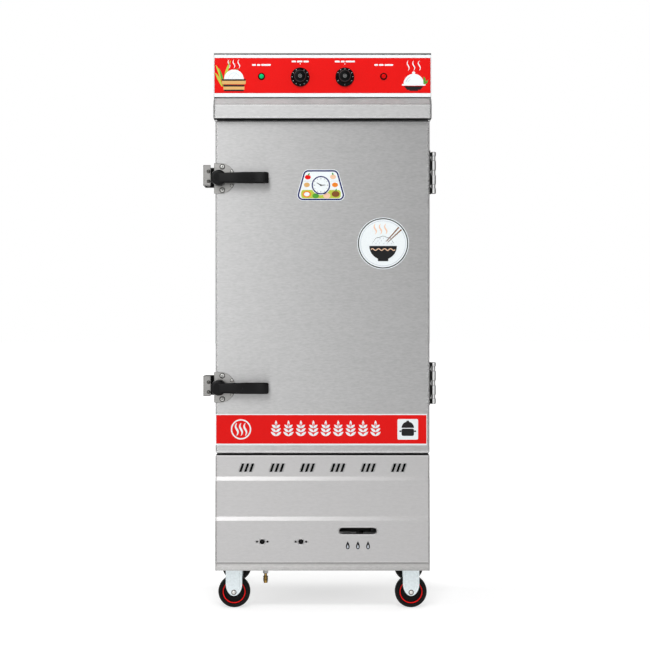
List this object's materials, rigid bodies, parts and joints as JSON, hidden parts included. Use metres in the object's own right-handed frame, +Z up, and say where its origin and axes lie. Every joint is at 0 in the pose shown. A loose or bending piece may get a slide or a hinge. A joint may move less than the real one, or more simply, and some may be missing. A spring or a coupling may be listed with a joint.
{
  "type": "rice steamer cabinet",
  "caption": "Upright steam cabinet on casters with an insulated door, lever latches, tray rack, water tank, gas burner and a control box on top.",
  "frame": {"origin": "on the floor, under the middle of the cabinet's box", "axes": "+X to the right and +Y to the back as seen from the door, +Z up"},
  "size_m": [0.713, 0.6718, 1.706],
  "materials": {
    "brushed_steel": "satin",
    "liner_steel": "satin",
    "zinc": "satin",
    "black_plastic": "satin",
    "rubber": "matte",
    "gasket": "matte",
    "red_label": "gloss",
    "brass": "polished",
    "foam": "matte",
    "cast_iron": "matte",
    "green_lens": "gloss",
    "red_lens": "gloss",
    "door_core": "satin"
  },
  "bodies": {
    "cabinet": {"base_front_panel": "brushed_steel", "burner": "cast_iron", "cable_gland": "black_plastic", "chassis": "brushed_steel", "control_box_cover": "brushed_steel", "control_panel": "red_label", "drain_pipe": "brushed_steel", "drip_hood": "brushed_steel", "flue_cowl": "brushed_steel", "front_frame": "brushed_steel", "gas_inlet_barb": "brass", "gas_manifold": "brass", "heating_element": "cast_iron", "heating_lamp": "green_lens", "inner_liner": "liner_steel", "insulation": "foam", "left_front_fork": "zinc", "left_rear_swivel_plate": "zinc", "lower_hinge_frame_leaf": "zinc", "lower_keeper": "brushed_steel", "outer_casing": "brushed_steel", "power_lamp": "red_lens", "right_front_fork": "zinc", "right_rear_swivel_plate": "zinc", "steam_baffle": "liner_steel", "steam_outlet": "brushed_steel", "thermostat": "black_plastic", "timer": "black_plastic", "tray_01": "liner_steel", "tray_02": "liner_steel", "tray_03": "liner_steel", "tray_04": "liner_steel", "tray_05": "liner_steel", "tray_06": "liner_steel", "tray_07": "liner_steel", "tray_08": "liner_steel", "tray_09": "liner_steel", "tray_10": "liner_steel", "tray_rack": "liner_steel", "upper_hinge_frame_leaf": "zinc", "upper_keeper": "brushed_steel"},
    "door": {"door_skin": "brushed_steel", "door_liner": "door_core", "door_gasket": "gasket", "upper_latch_plate": "brushed_steel", "lower_latch_plate": "brushed_steel", "upper_hinge_door_leaf": "zinc", "lower_hinge_door_leaf": "zinc"},
    "upper_lever": {"upper_latch_lever": "black_plastic"},
    "lower_lever": {"lower_latch_lever": "black_plastic"},
    "thermostat_knob": {"thermostat_knob": "black_plastic"},
    "timer_knob": {"timer_knob": "black_plastic"},
    "left_front_wheel": {"left_front_wheel": "rubber"},
    "right_front_wheel": {"right_front_wheel": "rubber"},
    "left_rear_swivel": {"left_rear_swivel_fork": "zinc"},
    "right_rear_swivel": {"right_rear_swivel_fork": "zinc"},
    "left_rear_wheel": {"left_rear_wheel": "rubber"},
    "right_rear_wheel": {"right_rear_wheel": "rubber"},
    "left_rear_pedal": {"left_rear_brake_pedal": "black_plastic"},
    "right_rear_pedal": {"right_rear_brake_pedal": "black_plastic"}
  },
  "joints": [
    {"name": "door_hinge", "type": "hinge", "parent": "cabinet", "child": "door", "pos_m": [0.34873, -0.24335, 1], "axis": [0, 0, 1], "range_deg": [0, 180]},
    {"name": "lower_lever_turn", "type": "hinge", "parent": "door", "child": "lower_lever", "pos_m": [-0.30928, -0.29235, 0.687], "axis": [0, -1, 0], "range_deg": [0, 90]},
    {"name": "upper_lever_turn", "type": "hinge", "parent": "door", "child": "upper_lever", "pos_m": [-0.30928, -0.29235, 1.325], "axis": [0, -1, 0], "range_deg": [0, 90]},
    {"name": "thermostat_knob_turn", "type": "hinge", "parent": "cabinet", "child": "thermostat_knob", "pos_m": [-0.06177, -0.30235, 1.633], "axis": [0, 1, 0], "range_deg": [0, 300]},
    {"name": "timer_knob_turn", "type": "hinge", "parent": "cabinet", "child": "timer_knob", "pos_m": [0.07422, -0.30235, 1.633], "axis": [0, 1, 0], "range_deg": [0, 300]},
    {"name": "left_front_wheel_spin", "type": "hinge", "parent": "cabinet", "child": "left_front_wheel", "pos_m": [-0.26827, -0.21235, 0.04957], "axis": [0, 1, 0], "continuous": true},
    {"name": "left_rear_swivel_turn", "type": "hinge", "parent": "cabinet", "child": "left_rear_swivel", "pos_m": [-0.26077, 0.22765, 0.132], "axis": [0, 0, 1], "continuous": true},
    {"name": "left_rear_wheel_spin", "type": "hinge", "parent": "left_rear_swivel", "child": "left_rear_wheel", "pos_m": [-0.28878, 0.22765, 0.04957], "axis": [0, 1, 0], "continuous": true},
    {"name": "left_rear_pedal_press", "type": "hinge", "parent": "left_rear_swivel", "child": "left_rear_pedal", "pos_m": [-0.27977, 0.22765, 0.108], "axis": [0, -1, 0], "range_deg": [0, 10]},
    {"name": "right_front_wheel_spin", "type": "hinge", "parent": "cabinet", "child": "right_front_wheel", "pos_m": [0.28073, -0.21235, 0.04957], "axis": [0, 1, 0], "continuous": true},
    {"name": "right_rear_swivel_turn", "type": "hinge", "parent": "cabinet", "child": "right_rear_swivel", "pos_m": [0.27322, 0.22765, 0.132], "axis": [0, 0, 1], "continuous": true},
    {"name": "right_rear_wheel_spin", "type": "hinge", "parent": "right_rear_swivel", "child": "right_rear_wheel", "pos_m": [0.30123, 0.22765, 0.04957], "axis": [0, 1, 0], "continuous": true},
    {"name": "right_rear_pedal_press", "type": "hinge", "parent": "right_rear_swivel", "child": "right_rear_pedal", "pos_m": [0.29223, 0.22765, 0.108], "axis": [0, 1, 0], "range_deg": [0, 10]}
  ]
}
